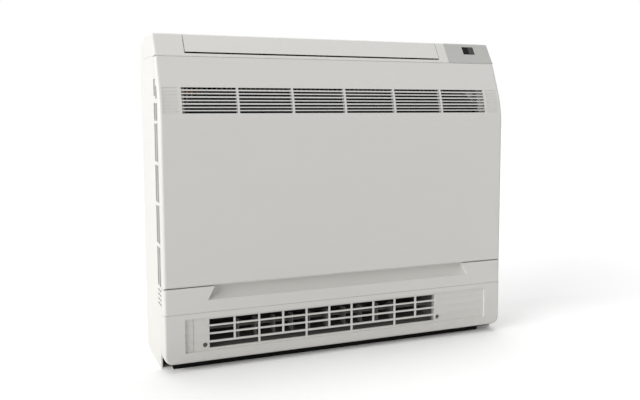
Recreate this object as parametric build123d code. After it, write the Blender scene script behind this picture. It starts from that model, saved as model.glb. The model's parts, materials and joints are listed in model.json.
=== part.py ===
from build123d import *
import math
import os

os.makedirs("parts", exist_ok=True)

# Overall size, in millimetres; the origin is at the middle of the base
WIDTH = 700.0
DEPTH = 215.0
HEIGHT = 600.0
HALF = WIDTH / 2
FRONT = -DEPTH / 2
BACK = DEPTH / 2

# Plastic walls and the gaps between pieces
WALL = 2.5
SEAM = 0.3
BORE_GAP = 0.05
SLIP_GAP = 0.4

# Curve of the front seen from the side
CURVE_START = HEIGHT - 169.0
CURVE_RADIUS = 196.0
CURVE_ANGLE = 21.8
CAP_ANGLE = 31.8
TOP_ROUND = 5.0
EDGE_ROUND = 6.0

# Heights of the front parts
CASE_FOOT = 14.3
GRILLE_TOP = 103.9
BAR_BOTTOM = 104.4
BAR_TOP = 150.5
PANEL_BOTTOM = 151.5
PANEL_TOP = HEIGHT - 42.0
CAP_BOTTOM = PANEL_TOP + 0.5
REAR_TOP = HEIGHT - 12.0
FOOT_ROUND = 16.0

# Joint between front case and rear case
SEAM_Y = FRONT + 33.5
UPPER_SEAM_Y = FRONT + 47.5
SEAM_STEP = HEIGHT - 79.0
CASE_EDGE_Y = FRONT + 14.8
TAPER_START = BACK - 74.5
TAPER = 5.0

# Front panel and its hinge
PANEL_EDGE_Y = FRONT + 14.0
PANEL_SIDE = 2.2
PANEL_RIM_INSET = 6.6
CASE_RIM_INSET = 7.4
HINGE_Y = FRONT + 5.0
HINGE_Z = 156.0
HINGE_PIN_R = 2.0
PANEL_FOOT_ROUND = 4.0
FLANGE_BACK = FRONT + 9.0

# Top louver
LOUVER_PIVOT_Y = BACK - 77.5
LOUVER_PIVOT_Z = HEIGHT - 12.0
LOUVER_TAIL_R = 12.0
TAIL_GAP = 0.8
LOUVER_FOOT = HEIGHT - 33.0
CAP_STRIP_TOP = HEIGHT - 36.0
CHEEK_LEFT = 54.0 - HALF
CHEEK_RIGHT = HALF - 127.0
LOUVER_GAP = 1.2
LOUVER_LEFT = CHEEK_LEFT + LOUVER_GAP
LOUVER_RIGHT = CHEEK_RIGHT - LOUVER_GAP

# Air path
DUCT_LEFT = 57.0 - HALF
DUCT_RIGHT = HALF - 130.0
DUCT_FRONT = -43.0
DUCT_REAR = 36.0
SCROLL_BOTTOM = 146.0
SCROLL_TOP = HEIGHT - 76.0
FAN_X = -36.5
FAN_Z = 335.0
FAN_RADIUS = 170.0
FAN_FRONT = -33.0
FAN_REAR = 30.0
INLET_RADIUS = 125.0

# Lower outlet
OUTLET_LEFT = -268.4
OUTLET_RIGHT = 195.5
GRILLE_BACK = FRONT + 14.0
GRILLE_FLOOR = FRONT + 4.0
GRILLE_ROWS = [(79.8, 90.3), (65.2, 76.7), (50.6, 62.0), (37.4, 47.0)]
GRILLE_PITCH = 46.7
GRILLE_BAR = 3.5
SCREW_Z = 43.7
SCREW_SINK = 3.0
SCREW_XS = [-276.3, 202.5]


# Plain shapes

def box(x0, x1, y0, y1, z0, z1):
    middle = Pos((x0 + x1) / 2, (y0 + y1) / 2, (z0 + z1) / 2)
    return middle * Box(x1 - x0, y1 - y0, z1 - z0)


def rod_x(x0, x1, y, z, r):
    return Pos((x0 + x1) / 2, y, z) * Rot(0, 90, 0) * Cylinder(r, x1 - x0)


def rod_y(y0, y1, x, z, r):
    return Pos(x, (y0 + y1) / 2, z) * Rot(90, 0, 0) * Cylinder(r, y1 - y0)


def rod_z(z0, z1, x, y, r):
    return Pos(x, y, (z0 + z1) / 2) * Cylinder(r, z1 - z0)


def across(face, x0, x1):
    plane = Plane(origin=(x0, 0, 0), x_dir=(0, 1, 0), z_dir=(1, 0, 0))
    return extrude(plane * face, amount=x1 - x0)


def along(face, y0, y1):
    plane = Plane(origin=(0, y1, 0), x_dir=(1, 0, 0), z_dir=(0, -1, 0))
    return extrude(plane * face, amount=y1 - y0)


def upward(face, z0, z1):
    return extrude(Pos(0, 0, z0) * face, amount=z1 - z0)


def outline(points):
    return make_face(Polyline(*points, close=True))


def mirrored(shape):
    return mirror(shape, about=Plane.YZ)


def group(shapes):
    return Compound(children=list(shapes))


def save(name, shape):
    export_step(shape, "parts/" + name + ".step")


# Front curve: y of the surface at a height, moved inwards by an inset

def front_y(z, inset=0.0):
    lean = math.radians(CURVE_ANGLE)
    centre_y = FRONT + CURVE_RADIUS
    r = CURVE_RADIUS - inset
    if z <= CURVE_START:
        return FRONT + inset
    if z - CURVE_START < r * math.sin(lean):
        return centre_y - math.sqrt(r * r - (z - CURVE_START) ** 2)
    end_y = centre_y - r * math.cos(lean)
    end_z = CURVE_START + r * math.sin(lean)
    return end_y + (z - end_z) * math.tan(lean)


def curve_point(angle, inset):
    a = math.radians(angle)
    r = CURVE_RADIUS - inset
    return (FRONT + CURVE_RADIUS - r * math.cos(a), CURVE_START + r * math.sin(a))


def curve_edges(z0, z1, inset):
    start = (FRONT + inset, z0)
    low = (FRONT + inset, CURVE_START)
    middle = curve_point(CURVE_ANGLE / 2, inset)
    high = curve_point(CURVE_ANGLE, inset)
    end = (front_y(z1, inset), z1)
    return [Line(start, low), ThreePointArc(low, middle, high), Line(high, end)]


def front_strip(z0, z1, inset0, inset1, x0, x1, top_drop=0.0):
    outer = curve_edges(z0, z1, inset0)
    inner = curve_edges(z0, z1 - top_drop, inset1)
    ends = [
        Line((front_y(z1, inset0), z1), (front_y(z1 - top_drop, inset1), z1 - top_drop)),
        Line((FRONT + inset0, z0), (FRONT + inset1, z0)),
    ]
    return across(make_face(outer + inner + ends), x0, x1)


CAP_SLOPE = math.tan(math.radians(CAP_ANGLE))
CAP_FOOT_Y = front_y(CAP_BOTTOM)


def cap_edges(inset, rear_z):
    # front slope, top and rounded tail of the cap, moved inwards by an inset
    lean = math.radians(CAP_ANGLE)
    top = HEIGHT - inset
    shift = inset / math.cos(lean)
    foot_y = CAP_FOOT_Y + shift
    crest_y = CAP_FOOT_Y + (top - CAP_BOTTOM) * CAP_SLOPE + shift
    tail_r = LOUVER_TAIL_R - inset
    half = math.sqrt(0.5)
    middle = (LOUVER_PIVOT_Y + tail_r * half, LOUVER_PIVOT_Z + tail_r * half)
    tail = (LOUVER_PIVOT_Y + tail_r, LOUVER_PIVOT_Z)
    edges = [
        Line((foot_y, CAP_BOTTOM), (crest_y, top)),
        Line((crest_y, top), (LOUVER_PIVOT_Y, top)),
        ThreePointArc((LOUVER_PIVOT_Y, top), middle, tail),
        Line(tail, (LOUVER_PIVOT_Y + tail_r, rear_z)),
        Line((LOUVER_PIVOT_Y + tail_r, rear_z), (foot_y, rear_z)),
    ]
    if rear_z < CAP_BOTTOM:
        edges.append(Line((foot_y, rear_z), (foot_y, CAP_BOTTOM)))
    return edges


def cap_block(inset, x0, x1, rear_z=CAP_BOTTOM):
    return across(make_face(cap_edges(inset, rear_z)), x0, x1)


def outer_edges(shape, inset_test):
    found = []
    for edge in shape.edges():
        middle = edge.position_at(0.5)
        if abs(abs(middle.X) - HALF) < 0.01 and inset_test(middle.Y, middle.Z):
            found.append(edge)
    return found

# Front panel

SLOT_ROWS = [
    (499.8, 503.5),
    (493.7, 497.3),
    (487.9, 491.6),
    (481.6, 485.4),
    (475.9, 479.5),
    (469.6, 473.3),
    (463.9, 467.6),
    (458.0, 461.9),
]
SLOT_END = HALF - 40.5
SLOT_BAR = 3.5
SLOT_BARS = [-208.3, -104.2, 0.0, 104.2, 208.3]
GROOVE_END = HALF - 8.0
GROOVE_DEPTH = 0.8
HINGE_IN = HALF - 46.0
HINGE_OUT = HALF - 38.0
HOOK_X = HALF - 28.0
HOOK_Z = HEIGHT - 176.0
HOOK_REACH = 20.0


def slot_spans():
    edges = [-SLOT_END]
    for x in SLOT_BARS:
        edges += [x - SLOT_BAR / 2, x + SLOT_BAR / 2]
    edges.append(SLOT_END)
    return list(zip(edges[0::2], edges[1::2]))


def panel_side_face():
    rim = []
    z = PANEL_TOP - 2.6
    while front_y(z, PANEL_RIM_INSET) > PANEL_EDGE_Y:
        rim.append((front_y(z, PANEL_RIM_INSET), z))
        z -= 6.0
    points = [(front_y(PANEL_TOP), PANEL_TOP)] + rim
    points += [(PANEL_EDGE_Y, z), (PANEL_EDGE_Y, PANEL_BOTTOM + 3)]
    points += [(PANEL_EDGE_Y - 3, PANEL_BOTTOM), (FRONT, PANEL_BOTTOM)]
    return make_face(curve_edges(PANEL_BOTTOM, PANEL_TOP, 0) + [Polyline(*points)])


def front_panel():
    block = across(panel_side_face(), -HALF, HALF)
    edges = outer_edges(block, lambda y, z: abs(y - front_y(z)) < 0.1)
    block = fillet(edges, EDGE_ROUND)
    inside = HALF - PANEL_SIDE
    hollow = front_strip(PANEL_BOTTOM + WALL, PANEL_TOP + 5, WALL, 60, -inside, inside)
    panel = block - hollow
    corner = box(-HALF - 1, HALF + 1, FRONT - 1, FRONT + PANEL_FOOT_ROUND,
                 PANEL_BOTTOM - 1, PANEL_BOTTOM + PANEL_FOOT_ROUND)
    corner -= rod_x(-HALF - 2, HALF + 2, FRONT + PANEL_FOOT_ROUND,
                    PANEL_BOTTOM + PANEL_FOOT_ROUND, PANEL_FOOT_ROUND)
    panel -= corner
    panel -= box(-inside, inside, FLANGE_BACK, PANEL_EDGE_Y + 5, PANEL_BOTTOM - 1, PANEL_BOTTOM + 4)
    # no bottom flange where the hinges sit
    for side in (-1, 1):
        near, far = sorted((side * (HINGE_IN - 8), side * (HALF - PANEL_SIDE)))
        panel -= box(near, far, FRONT + WALL, PANEL_EDGE_Y + 5, PANEL_BOTTOM - 1, PANEL_BOTTOM + 4)
    # stiffening ribs behind the slots
    reach = front_strip(445, 515, 1.5, 10, -HALF, HALF)
    reach &= box(-HALF, HALF, FRONT, -86, 450, 510)
    ribs = [box(x - SLOT_BAR / 2, x + SLOT_BAR / 2, FRONT, -80, 455, 506.5) for x in SLOT_BARS]
    diagonal = outline([(-290, 499), (-259.5, 457), (-261.5, 457), (-292, 499)])
    ribs.append(along(diagonal, FRONT, -80))
    ribs.append(mirrored(along(diagonal, FRONT, -80)))
    for rib in ribs:
        panel += rib & reach
    # air slots and the shallow grooves that run on past them
    surface = front_strip(445, 515, -2, GROOVE_DEPTH, -HALF, HALF)
    cuts = []
    for low, high in SLOT_ROWS:
        for x0, x1 in slot_spans():
            cuts.append(box(x0, x1, FRONT - 5, -70, low, high))
    panel -= cuts
    grooves = []
    for low, high in SLOT_ROWS:
        grooves.append(surface & box(-GROOVE_END, -SLOT_END - 6, FRONT - 5, -70, low, high))
        grooves.append(surface & box(SLOT_END + 6, GROOVE_END, FRONT - 5, -70, low, high))
    panel -= grooves
    # hinge hooks that clip round the pins of the case
    for side in (-1, 1):
        near, far = sorted((side * (HINGE_IN + 1), side * (HINGE_OUT - 2)))
        ring_r = HINGE_PIN_R + 2.2
        hook = rod_x(near, far, HINGE_Y, HINGE_Z, ring_r)
        hook += box(near, far, FRONT + 1, HINGE_Y, HINGE_Z - 2, HINGE_Z + ring_r)
        hook -= rod_x(near - 1, far + 1, HINGE_Y, HINGE_Z, HINGE_PIN_R + BORE_GAP)
        hook -= box(near - 1, far + 1, HINGE_Y + 1.2, HINGE_Y + 9, HINGE_Z - 1.4, HINGE_Z + 1.4)
        panel += hook
    # snap hooks that hold the panel closed in two holes of the frame
    tip = FRONT + HOOK_REACH
    for x in (-HOOK_X, HOOK_X):
        panel += box(x - 4, x + 4, FRONT + 1, tip, HOOK_Z - 1.2, HOOK_Z + 1.2)
        panel += box(x - 4, x + 4, tip - 2.5, tip, HOOK_Z - 2.4, HOOK_Z + 2.4)
    return panel

# Side slots: each half lies in one case, with a rib left along the joint

SIDE_SLOTS = [(445.5, 476.3), (374.0, 440.7), (302.7, 367.9), (229.2, 296.5), (152.6, 222.8)]
SIDE_SLITS = 4
SIDE_SLIT_TOP = 146.0
SIDE_SLIT_HEIGHT = 3.5
SIDE_SLIT_PITCH = 8.2
SIDE_SLOT_FRONT = FRONT + 18.5
SIDE_SLOT_REAR = FRONT + 48.5
SIDE_RIB_FRONT = FRONT + 31.7
SIDE_RIB_REAR = FRONT + 35.0


def side_slot_cuts(y0, y1, top_low, top_high):
    spans = list(SIDE_SLOTS)
    for i in range(SIDE_SLITS):
        top = SIDE_SLIT_TOP - i * SIDE_SLIT_PITCH
        spans.append((top - SIDE_SLIT_HEIGHT, top))
    cuts = []
    for side in (-1, 1):
        x0, x1 = sorted((side * (HALF - 6), side * (HALF + 2)))
        for low, high in spans:
            cuts.append(box(x0, x1, y0, y1, low, high))
        cuts.append(box(x0, x1, y0, y1, top_low, top_high))
    return cuts


# Front case

RECESS_TOP = HALF - 92.0
RECESS_FOOT = HALF - 78.0
RECESS_LOW = 126.0
FRAME_OPENING = HALF - 47.0
FRAME_LOW = 170.0
FRAME_HIGH = HEIGHT - 88.0
FRAME_TOP = HEIGHT - 39.0
FRAME_INSET = 13.0
FRAME_BACK = 16.0
CASE_SCREW_X = HALF - 13.0
CASE_SCREW_ZS = [190.0, 420.0]
CASE_SCREW_R = 1.75
SCREW_HOLE = 2.1
BUTTON_X = HALF - 25.0
BUTTON_Z = 330.0
BUTTON_R = 4.5
SWITCH_Z = 290.0
DISPLAY_LEFT = HALF - 106.7
DISPLAY_RIGHT = HALF - 1.6
DISPLAY_SKIN = 2.2
DISPLAY_HOLE = (275.0, 330.0)


def rounded_front(inset, y0, y1, top):
    face = Pos(0, (CASE_FOOT + top) / 2) * Rectangle(WIDTH - 2 * inset, top - CASE_FOOT - 2 * inset)
    low = face.vertices().sort_by(Axis.Y)[:2]
    face = fillet(low, FOOT_ROUND - inset)
    return along(face, y0, y1)


def case_side_face():
    rim = []
    z = CAP_BOTTOM
    while front_y(z, CASE_RIM_INSET) > CASE_EDGE_Y:
        rim.append((front_y(z, CASE_RIM_INSET), z))
        z -= 6.0
    points = rim + [(CASE_EDGE_Y, z), (CASE_EDGE_Y, BAR_BOTTOM), (SEAM_Y - SEAM, BAR_BOTTOM)]
    points += [(SEAM_Y - SEAM, SEAM_STEP + SEAM), (UPPER_SEAM_Y - SEAM, SEAM_STEP + SEAM)]
    points += [(UPPER_SEAM_Y - SEAM, CAP_BOTTOM)]
    return outline(points)


def case_bar():
    bar = box(-HALF, HALF, FRONT, CASE_EDGE_Y + 8, BAR_BOTTOM, BAR_TOP)
    uprights = bar.edges().filter_by(Axis.Z).filter_by(lambda e: e.center().Y < FRONT + 1)
    bar = fillet(uprights, EDGE_ROUND)
    inner = HALF - WALL
    bar -= box(-inner, inner, FRONT + WALL, 0, BAR_BOTTOM + WALL, BAR_TOP - WALL)
    scoop = [(FRONT + 1, RECESS_LOW - 3), (-98.5, 128), (-91.5, 137), (-88.0, BAR_TOP), (FRONT + 1, BAR_TOP)]
    bar += across(outline(scoop), -RECESS_FOOT - 3, RECESS_FOOT + 3)
    ramp = make_face([
        ThreePointArc((FRONT, RECESS_LOW), (-98, 133), (-90.5, BAR_TOP + 3)),
        Line((-90.5, BAR_TOP + 3), (FRONT - 3, BAR_TOP + 3)),
        Line((FRONT - 3, BAR_TOP + 3), (FRONT - 3, RECESS_LOW)),
        Line((FRONT - 3, RECESS_LOW), (FRONT, RECESS_LOW)),
    ])
    cutter = across(ramp, -RECESS_FOOT, RECESS_FOOT)
    ends = outline([
        (-RECESS_FOOT, RECESS_LOW - 2),
        (RECESS_FOOT, RECESS_LOW - 2),
        (RECESS_TOP - 2, BAR_TOP + 4),
        (-RECESS_TOP + 2, BAR_TOP + 4),
    ])
    return bar - (cutter & along(ends, FRONT - 4, -80))


def crest_rounded(block):
    crest = []
    for edge in block.edges().filter_by(Axis.X):
        middle = edge.center()
        if abs(middle.Z - HEIGHT) < 0.01 and middle.Y < LOUVER_PIVOT_Y - 5:
            crest.append(edge)
    return fillet(crest, TOP_ROUND)


def rounded_cap():
    # outside of the whole cap, with its crest and both end rims rounded
    block = crest_rounded(cap_block(0, -HALF, HALF))
    tail_y = LOUVER_PIVOT_Y + LOUVER_TAIL_R

    def on_rim(y, z):
        straight_tail = abs(y - tail_y) < 0.05 and z < REAR_TOP - 0.5
        return z > CAP_BOTTOM + 0.5 and not straight_tail

    return fillet(outer_edges(block, on_rim), TOP_ROUND - 0.5)


def case_cap():
    inner = HALF - WALL
    cap = rounded_cap() - cap_block(WALL, -inner, inner, CAP_BOTTOM - 5)
    cap -= box(-inner, inner, LOUVER_PIVOT_Y, LOUVER_PIVOT_Y + 20, CAP_BOTTOM - 1, REAR_TOP - 1)
    # opening of the louver, with a cheek wall at each end
    well = box(CHEEK_LEFT, CHEEK_RIGHT, -90, 60, CAP_STRIP_TOP, HEIGHT + 5)
    well += box(CHEEK_LEFT, CHEEK_RIGHT, -50, 60, CAP_BOTTOM - 1, HEIGHT + 5)
    inside = cap_block(1.0, -HALF, HALF)
    for x in (CHEEK_LEFT - WALL, CHEEK_RIGHT):
        cap += inside & box(x, x + WALL, -80, 41, CAP_BOTTOM + 1.5, HEIGHT)
    cap -= well
    # seat under the display cover
    seat = cap_block(DISPLAY_SKIN, DISPLAY_LEFT - 2, HALF - 1)
    seat -= cap_block(DISPLAY_SKIN + 2, DISPLAY_LEFT - 2, HALF - 1, CAP_BOTTOM - 5)
    cap += seat & box(0, HALF - 1, -100, LOUVER_PIVOT_Y, CAP_BOTTOM, HEIGHT)
    return cap - box(DISPLAY_HOLE[0], DISPLAY_HOLE[1], -80, -45, 572, 594)


def display_recess():
    over = cap_block(-3, DISPLAY_LEFT, DISPLAY_RIGHT) - cap_block(DISPLAY_SKIN, 0, HALF + 5, CAP_BOTTOM - 5)
    return over & box(DISPLAY_LEFT, HALF + 1, -100, LOUVER_PIVOT_Y - 2, CAP_BOTTOM + 0.7, HEIGHT + 5)


def front_case():
    side = across(case_side_face(), -HALF, -HALF + WALL)
    case = case_bar() + side + mirrored(side) + case_cap()
    skirt = rounded_front(0, CASE_EDGE_Y, SEAM_Y - SEAM, BAR_BOTTOM + 1)
    skirt -= rounded_front(WALL, CASE_EDGE_Y - 1, SEAM_Y + 1, BAR_BOTTOM + 5)
    case += skirt
    # plate behind the lower grille, with the outlet cut out
    plate = rounded_front(0.5, PANEL_EDGE_Y, CASE_EDGE_Y + WALL, BAR_BOTTOM + 2)
    plate -= box(OUTLET_LEFT - 2, OUTLET_RIGHT + 2, -100, -80, 33, 94)
    case += plate
    for x in SCREW_XS:
        case += rod_y(CASE_EDGE_Y, -82, x, SCREW_Z, 4.4)
        case -= rod_y(-100, -80, x, SCREW_Z, CASE_SCREW_R + BORE_GAP)
    # frame behind the front panel, round the filters
    reach = HALF - WALL - 0.3
    frame = front_strip(BAR_TOP - 1, FRAME_TOP, FRAME_INSET, FRAME_BACK, -reach, reach)
    frame += front_strip(BAR_TOP - 1, FRAME_HIGH - 10, FRAME_BACK - 1, FRAME_BACK, -HALF + 1, HALF - 1)
    frame -= box(-FRAME_OPENING, FRAME_OPENING, -100, -40, FRAME_LOW, FRAME_HIGH)
    frame -= box(CHEEK_LEFT, CHEEK_RIGHT, -100, -40, CAP_BOTTOM + 2.5, 600)
    for x in (-HOOK_X, HOOK_X):
        frame -= box(x - 8, x + 8, -100, -60, HOOK_Z - 7, HOOK_Z + 7)
    ledge_rear = front_y(CAP_BOTTOM, FRAME_BACK)
    ledge = box(-HALF + 1, HALF - 1, CAP_FOOT_Y + 1, ledge_rear, CAP_BOTTOM, CAP_BOTTOM + 2)
    sill = box(-FRAME_OPENING, FRAME_OPENING, FRONT + FRAME_INSET + 0.5, -79, FRAME_LOW - 2, FRAME_LOW + 1.6)
    case += frame + ledge + sill
    case -= display_recess()
    for x in (-CASE_SCREW_X, CASE_SCREW_X):
        for z in CASE_SCREW_ZS:
            case -= rod_y(-100, -80, x, z, SCREW_HOLE)
    case -= rod_y(-100, -80, BUTTON_X, BUTTON_Z, BUTTON_R + SLIP_GAP)
    case -= box(BUTTON_X - 2, BUTTON_X + 2, -100, -80, SWITCH_Z - 9, SWITCH_Z + 9)
    # hinge arms and their pins
    for side in (-1, 1):
        near, far = sorted((side * (HINGE_IN - 4), side * HINGE_IN))
        arm = rod_x(near, far, HINGE_Y, HINGE_Z, HINGE_PIN_R)
        arm += box(near, far, HINGE_Y, FRONT + FRAME_INSET + 1, HINGE_Z - 2, HINGE_Z + 2)
        pin_near, pin_far = sorted((side * (HINGE_IN - 1), side * HINGE_OUT))
        case += arm + rod_x(pin_near, pin_far, HINGE_Y, HINGE_Z, HINGE_PIN_R)
    # bearings of the louver and a passage for the swing link
    case -= rod_x(CHEEK_LEFT - 5, CHEEK_LEFT + 1, LOUVER_PIVOT_Y, LOUVER_PIVOT_Z, 6)
    case -= rod_x(CHEEK_RIGHT - 1, CHEEK_RIGHT + 5, LOUVER_PIVOT_Y, LOUVER_PIVOT_Z, 6)
    case -= box(CHEEK_RIGHT - 1, CHEEK_RIGHT + 4, 3, 17, 569, 579)
    case -= side_slot_cuts(SIDE_SLOT_FRONT, SIDE_RIB_FRONT, 483.5, 506.0)
    return case


# Rear case, which stands on the floor

MOUNT_X = 240.0
MOUNT_LOW = 300.0
MOUNT_HIGH = HEIGHT - 80.0
MOUNT_DEPTH = 3.0
POST_R = 5.0
BRACKET_POSTS = [(-250.0, 440.0), (190.0, 230.0), (-80.0, 160.0), (20.0, 508.0)]


def rear_outline(inset):
    return outline([
        (-HALF + inset, SEAM_Y),
        (-HALF + inset, TAPER_START),
        (-HALF + TAPER + inset, BACK - inset),
        (HALF - TAPER - inset, BACK - inset),
        (HALF - inset, TAPER_START),
        (HALF - inset, SEAM_Y),
    ])


def rear_case():
    case = upward(rear_outline(0), 0, REAR_TOP)
    uprights = [e for e in case.edges().filter_by(Axis.Z) if e.center().Y > BACK - 1]
    case = fillet(uprights, 4)
    case -= upward(rear_outline(WALL), WALL, REAR_TOP - WALL)
    tail = LOUVER_PIVOT_Y + LOUVER_TAIL_R + TAIL_GAP
    case -= box(-HALF - 1, HALF + 1, SEAM_Y - 1, UPPER_SEAM_Y, SEAM_STEP, 700)
    case -= box(-HALF - 1, HALF + 1, SEAM_Y - 1, tail, CAP_BOTTOM - SEAM, 700)
    # recess for the wall bracket
    floor_y = BACK - MOUNT_DEPTH - SEAM
    case += box(-MOUNT_X - 4, MOUNT_X + 4, floor_y - WALL, BACK - 0.5, MOUNT_LOW - 4, MOUNT_HIGH + 4)
    inner = BACK - WALL + 0.5
    for x, z in BRACKET_POSTS:
        case += rod_y(DUCT_REAR + WALL, inner, x, z, 7)
    for x in (-CASE_SCREW_X, CASE_SCREW_X):
        for z in CASE_SCREW_ZS:
            case += rod_y(FRONT + FRAME_BACK, inner, x, z, POST_R)
            case -= rod_y(-100, -76, x, z, CASE_SCREW_R + BORE_GAP)
    plate_side = MOUNT_X + 0.5
    case -= box(-plate_side, plate_side, BACK - MOUNT_DEPTH, BACK + 1, MOUNT_LOW - 0.5, MOUNT_HIGH + 0.5)
    # hole for the pipes at the right of the back
    case -= rod_y(BACK - 6, BACK + 1, 300, 60, 30)
    case -= side_slot_cuts(SIDE_RIB_REAR, SIDE_SLOT_REAR, 489.0, 518.0)
    return case


def mounting_plate():
    plate = box(-MOUNT_X, MOUNT_X, BACK - MOUNT_DEPTH, BACK - 1.5, MOUNT_LOW, MOUNT_HIGH)
    plate -= [rod_y(100, 110, x, z, 3.5) for x in (-200, 200) for z in (330, 490)]
    plate -= box(-120, 120, 100, 110, 360, 460)
    for x in (-180, 180):
        plate += box(x - 12, x + 12, BACK - 1.6, BACK, 400, 420)
    return plate


def base_strip():
    face = outline([(-330, 0), (309, 0), (313, CASE_FOOT), (-334, CASE_FOOT)])
    return along(face, -85, SEAM_Y - SEAM)


def lower_grille():
    block = rounded_front(0, FRONT, PANEL_EDGE_Y, GRILLE_TOP)
    rims = []
    for e in block.edges():
        p = e.position_at(0.5)
        if abs(p.Y - FRONT) < 0.01 and p.Z < GRILLE_TOP - 0.1:
            rims.append(e)
    block = fillet(rims, EDGE_ROUND - 1)
    hollow = rounded_front(WALL, FRONT + WALL, PANEL_EDGE_Y + 1, GRILLE_TOP)
    grille = block - hollow
    grille += box(-316, 316, FRONT + 1, GRILLE_FLOOR + WALL, 30.5, 96.5)
    grille -= box(-313, 313, FRONT - 1, GRILLE_FLOOR, 33, 94)
    # raised ribs on the closed ends of the frame
    rows = GRILLE_ROWS
    for i in range(3):
        low = rows[i + 1][1]
        high = rows[i][0]
        for x0, x1 in ((-312.5, -298.5), (-296.5, OUTLET_LEFT - 2), (OUTLET_RIGHT + 2, 312.5)):
            grille += box(x0, x1, GRILLE_FLOOR - 0.9, GRILLE_FLOOR + 0.5, low, high)
    grille -= box(-298.2, -296.8, FRONT, GRILLE_FLOOR + 1, 33, 94)
    for x in SCREW_XS:
        grille -= rod_y(FRONT, GRILLE_FLOOR + 0.2, x, SCREW_Z, 4.8)
        grille += rod_y(GRILLE_FLOOR - 0.5, PANEL_EDGE_Y, x, SCREW_Z, 6.2)
        grille -= rod_y(FRONT, GRILLE_FLOOR + SCREW_SINK, x, SCREW_Z, 4.6)
        grille -= rod_y(FRONT, -90, x, SCREW_Z, SCREW_HOLE)
    # open part with its bars
    xs = [OUTLET_LEFT + GRILLE_PITCH * (i + 1) + 0.2 for i in range(9)]
    for row, (low, high) in enumerate(rows):
        kept = xs if row < 3 else xs[1::2]
        edges = [OUTLET_LEFT]
        for x in kept:
            edges += [x - GRILLE_BAR / 2, x + GRILLE_BAR / 2]
        edges.append(OUTLET_RIGHT)
        for x0, x1 in zip(edges[0::2], edges[1::2]):
            grille -= box(x0, x1, FRONT - 1, -90, low, high)
    return grille


def countersunk(x, z, head_y, length, head_r, r):
    screw = rod_y(head_y, head_y + 2, x, z, head_r)
    screw += rod_y(head_y + 1.5, head_y + length, x, z, r)
    screw -= box(x - 2, x + 2, head_y - 1, head_y + 0.9, z - 0.4, z + 0.4)
    screw -= box(x - 0.4, x + 0.4, head_y - 1, head_y + 0.9, z - 2, z + 2)
    return screw


def grille_screws():
    head_y = GRILLE_FLOOR + SCREW_SINK - 2
    return group(countersunk(x, SCREW_Z, head_y, 19 - SCREW_SINK, 3.6, CASE_SCREW_R) for x in SCREW_XS)


def case_screws():
    y = FRONT + FRAME_INSET - 2
    return group(countersunk(x, z, y, 16, 3.8, CASE_SCREW_R)
                 for x in (-CASE_SCREW_X, CASE_SCREW_X) for z in CASE_SCREW_ZS)


# Display cover, its window and board

WINDOW = (284.7, 312.0, 577.3, 593.0)


def display_cover():
    shell = rounded_cap() - cap_block(DISPLAY_SKIN, 0, HALF + 5, CAP_BOTTOM - 5)
    shell &= box(DISPLAY_LEFT + SEAM, DISPLAY_RIGHT - SEAM, -100, LOUVER_PIVOT_Y - 2.4, CAP_BOTTOM + 1.0, HEIGHT + 5)
    return shell - box(WINDOW[0], WINDOW[1], -90, -30, WINDOW[2], WINDOW[3])


def display_window():
    pane = cap_block(0.2, WINDOW[0] + 0.3, WINDOW[1] - 0.3) - cap_block(DISPLAY_SKIN, 0, HALF, CAP_BOTTOM - 5)
    return pane & box(0, HALF, -90, -30, WINDOW[2] + 0.3, WINDOW[3] - 0.3)


def display_board():
    lean = math.radians(CAP_ANGLE)
    board = cap_block(DISPLAY_SKIN + 2, 262, 342) - cap_block(DISPLAY_SKIN + 3.8, 0, HALF, CAP_BOTTOM - 5)
    board &= box(0, HALF, -90, -40, 566, 592)
    for i in range(3):
        z = 589.5 - i * 4.5
        y = CAP_FOOT_Y + (z - CAP_BOTTOM) * CAP_SLOPE + 3.2 / math.cos(lean)
        board += box(290, 294, y - 0.2, y + 1.6, z - 1, z + 1)
    return board

# Top louver with its end webs and pivot

LOUVER_WEB = 2.5
LOUVER_HUB_R = 7.0
PIVOT_R = 3.0


def top_louver():
    block = crest_rounded(cap_block(0, LOUVER_LEFT, LOUVER_RIGHT))
    louver = block - cap_block(WALL, LOUVER_LEFT - 1, LOUVER_RIGHT + 1, CAP_BOTTOM - 5)
    louver &= box(-HALF, HALF, -100, 60, LOUVER_FOOT, 610) - box(-HALF, HALF, 0, 60, 0, REAR_TOP)
    web_points = [(-58, -18), (-48, -2.4), (30, -1), (38, -10), (34, -18), (24, -17), (-30, -10), (-50, -20)]
    web = outline([(y, HEIGHT + z) for y, z in web_points])
    inside = cap_block(0.5, LOUVER_LEFT, LOUVER_RIGHT)
    for x in (LOUVER_LEFT, -110, 60, LOUVER_RIGHT - LOUVER_WEB):
        louver += inside & across(web, x, x + LOUVER_WEB)
    for x in (LOUVER_LEFT, LOUVER_RIGHT - LOUVER_WEB):
        louver += rod_x(x, x + LOUVER_WEB, LOUVER_PIVOT_Y, LOUVER_PIVOT_Z, LOUVER_HUB_R)
    louver += rod_x(CHEEK_LEFT - WALL - 2, LOUVER_LEFT + 1, LOUVER_PIVOT_Y, LOUVER_PIVOT_Z, PIVOT_R)
    louver += rod_x(LOUVER_RIGHT - 1, CHEEK_RIGHT + WALL - SLIP_GAP, LOUVER_PIVOT_Y, LOUVER_PIVOT_Z, PIVOT_R)
    return louver


def louver_bush():
    bushes = []
    for x0, x1 in ((CHEEK_LEFT - WALL, CHEEK_LEFT), (CHEEK_RIGHT, CHEEK_RIGHT + WALL)):
        bush = rod_x(x0, x1, LOUVER_PIVOT_Y, LOUVER_PIVOT_Z, 6 - BORE_GAP)
        bushes.append(bush - rod_x(x0 - 1, x1 + 1, LOUVER_PIVOT_Y, LOUVER_PIVOT_Z, PIVOT_R + BORE_GAP))
    return group(bushes)


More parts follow.
